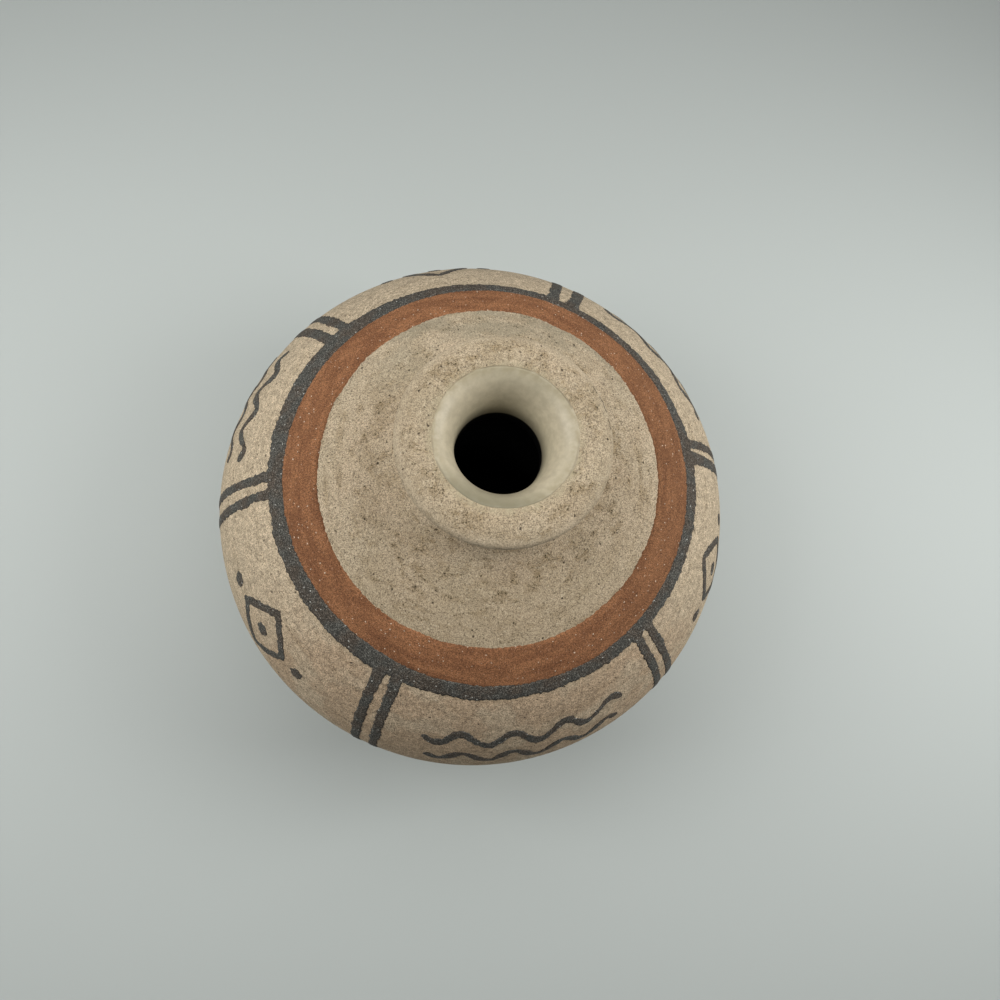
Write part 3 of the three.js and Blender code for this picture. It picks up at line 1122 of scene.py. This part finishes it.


# %% [markdown]
# ## Cream glaze
# The lining is a satin glaze, cream with a breath of grey-green, smooth where the clay is
# sandy. It is thicker and cooler towards the throat, and darkened there by painted shade.
# Below the throat no light comes in, and the glaze there is painted near black, as painted
# shade, so the inside reads as black. The near and far walls of the funnel carry painted
# shade. At the mouth, where it thins over the rim, the clay shows through, and the edge
# itself is a thin darker line, darkest on the far side as a painted shadow line.

# %% Tones and places of the glaze
# The last three tones are painted shade, and the line tone is partly a painted shadow line.
glaze = tones(
    dull="bcb197", light="c4b99f", thick="a9a686", thin="a39678",
    line="75674f", shade="79755f", dim="4c4439", dark="050505",
)
throat_up = throat_height / mm
glaze_deepens = (mouth_height / mm - 3, throat_up)
# Painted shade deepens towards the throat, and the glaze is painted black below it.
glaze_dims = (throat_up + 7, throat_up + 0.8)
painted_black_heights = (throat_up + 1.3, throat_up + 0.2)
edge_direction = (*glaze_edge_shift / mouth_radius, 0)
far_direction = (0.2, 0.98, 0)


# %% Mix the cream glaze
def glaze_edge(tree, cream, place, spot, far):
    """Thins the glaze at the mouth, and draws its edge."""
    edge = reckon(tree, "ADD", toward(tree, place, edge_direction), mouth_radius / mm)
    inside = reckon(tree, "SUBTRACT", edge, spot["radius"])
    uneven = patches(tree, cloud(tree, place, 2.2, 3), (0.35, 0.6), (0.3, 0.85))
    cream = blend(tree, times(tree, fade(tree, inside, 3, 0.3), uneven), cream, glaze["thin"])
    broken = patches(tree, cloud(tree, place, 4), (0.32, 0.52))
    # The edge line is darkest on the far side, where it is partly a painted shadow line.
    line = times(tree, fade(tree, inside, 0.5, 0.15), broken, fade(tree, far, 8, 15, 0.35, 0.75))
    return blend(tree, line, cream, glaze["line"])


def mix_cream_glaze():
    finish, tree, shader, place = new_finish("cream_glaze_satin", roughness=0.42, specular=0.4)
    spot = spot_on_pot(tree, place)
    height = spot["height"]
    streaks = wheel_streaks(tree, spot, circle=10)
    cream = blend(tree, cloud(tree, streaks, 7), glaze["dull"], glaze["light"])
    cream = shaded(tree, cream, cloud(tree, place, 1.8, 4, 0.6), (0.88, 1.06))
    thick = times(tree, fade(tree, height, *glaze_deepens), 0.35)
    cream = blend(tree, thick, cream, glaze["thick"])
    far = toward(tree, place, far_direction)
    cream = glaze_edge(tree, cream, place, spot, far)
    # Painted shade on the funnel's near wall, and a lighter painted shade on its far wall.
    shade = reckon(tree, "MAXIMUM", fade(tree, far, -8, -17, 0, 0.75), fade(tree, far, 9, 17, 0, 0.3))
    cream = blend(tree, shade, cream, glaze["shade"])
    # Painted shade towards the throat, and below it painted black where no light comes in.
    cream = blend(tree, fade(tree, height, *glaze_dims, 0, 0.6), cream, glaze["dim"])
    cream = blend(tree, fade(tree, height, *painted_black_heights), cream, glaze["dark"])
    coat(tree, shader, cream, cloud(tree, place, 2.5), depth=0.03 * mm)
    return finish


# %% [markdown]
# ## Terracotta slip
# A red clay brushed thickly, matt, with the coarse sand of the wall poking through as bright
# pinpricks. The brush leaves it slightly cloudy along the turn, and it is duller on the right.

# %% Mix the terracotta slip
# Each kind of grain has its spacing, size and share, how strongly it shows, and its colour.
terracotta_grains = [
    (1.5, 0.32, 0.4, 0.45, "523626"),
    (0.8, 0.22, 0.5, 0.5, "c09272"),
    (1.3, 0.23, 0.33, 0.8, "ecd9bf"),
]
duller_right = (20, 52)


def mix_terracotta():
    finish, tree, shader, place = new_finish("terracotta_slip_matt", roughness=0.88, specular=0.25)
    spot = spot_on_pot(tree, place)
    streaks = wheel_streaks(tree, spot, circle=20)
    cloudy = patches(tree, cloud(tree, streaks, 4, 4, 0.6), (0.35, 0.65))
    red = blend(tree, cloudy, colour("785035"), colour("8e6242"))
    red = blend(tree, fade(tree, spot["x"], *duller_right, 0, 0.22), red, colour("66482f"))
    red = shaded(tree, red, fine_sand(tree, place), (0.42, 1.62))
    grain = cloud(tree, place, 0.7, 3, 0.65)
    red = shaded(tree, red, grain, (0.82, 1.16))
    red, bright = sprinkled(tree, red, crumbled(tree, place), terracotta_grains)
    coat(tree, shader, red, reckon(tree, "ADD", grain, bright), depth=0.08 * mm)
    return finish


# %% [markdown]
# ## Charcoal slip
# A black-grey slip stained with iron, part brown and part grey. It is thinner than the
# terracotta, so more sand shows through, and it is peppered with grey.

# %% Mix the charcoal slip
charcoal_grains = [
    (0.7, 0.24, 0.5, 0.58, "94928a"),
    (1.6, 0.26, 0.4, 0.9, "d5d4cb"),
]


def mix_charcoal():
    finish, tree, shader, place = new_finish("charcoal_slip_matt", roughness=0.88, specular=0.25)
    cloudy = patches(tree, cloud(tree, place, 6, 3), (0.38, 0.62))
    grey = blend(tree, cloudy, colour("49423a"), colour("474641"))
    grey = shaded(tree, grey, fine_sand(tree, place), (0.5, 3.4), (0.42, 0.76))
    grain = cloud(tree, place, 0.6, 3, 0.7)
    grey = shaded(tree, grey, grain, (0.7, 1.6), (0.32, 0.76))
    grey, bright = sprinkled(tree, grey, crumbled(tree, place), charcoal_grains)
    coat(tree, shader, grey, reckon(tree, "ADD", grain, bright), depth=0.08 * mm)
    return finish


# %% Give each piece its finish
def give(pieces, finish):
    for piece in pieces:
        piece.data.materials.clear()
        piece.data.materials.append(finish)
    print(finish.name, "has", len(finish.node_tree.nodes), "nodes, pieces:", len(pieces))


give([body], mix_sandy_clay())
give([lining], mix_cream_glaze())
give(terracotta_pieces, mix_terracotta())
give(charcoal_pieces, mix_charcoal())

# %% [markdown]
# ## Table and light
# The pot stands on a plain pale table. Soft lamps hang to its left and right, and a long one
# over its far side. The near side gets no lamp of its own, so it falls into a gentle shade,
# and the table darkens towards the near edge. The sky gives the rest.

# %% Lay the table
table_size = 3
table_tone = "c1c7c3"


def lay_table():
    shape = bmesh.new()
    bmesh.ops.create_grid(shape, x_segments=1, y_segments=1, size=table_size / 2)
    table = mesh_object(shape, "table")
    finish, shader = plain_finish("pale_table", roughness=0.6, specular=0.3)
    shader.inputs["Base Color"].default_value = colour(table_tone)
    table.data.materials.append(finish)


lay_table()

# %% Hang the lamps
# Each lamp has its place, its length along the table, its width and its power.
lamps = {
    "left_lamp": ((-0.3, 0.01, 0.33), 0.2, 0.3, 0.83),
    "right_lamp": ((0.34, 0.01, 0.33), 0.2, 0.3, 1.0),
    "far_lamp": ((0, 0.13, 0.4), 0.8, 0.2, 0.74),
}
sky_strength = 0.185
white = (1, 1, 1, 1)


def hang_lamp(name, place, length, width, power):
    light = bpy.data.lights.new(name, "AREA")
    light.shape = "RECTANGLE"
    light.size = length
    light.size_y = width
    light.energy = power
    lamp = in_scene(name, light)
    lamp.location = place
    aim = Vector((0, 0, middle_height)) - Vector(place)
    lamp.rotation_mode = "QUATERNION"
    lamp.rotation_quaternion = aim.to_track_quat("-Z", "Y")


def light_the_sky():
    sky = bpy.data.worlds.new("soft_sky")
    sky.use_nodes = True
    bpy.context.scene.world = sky
    background = sky.node_tree.nodes["Background"]
    background.inputs["Color"].default_value = white
    background.inputs["Strength"].default_value = sky_strength


for name, lamp in lamps.items():
    hang_lamp(name, *lamp)
light_the_sky()
print("lamps:", *lamps)
bpy.context.scene.view_settings.view_transform = "Standard"
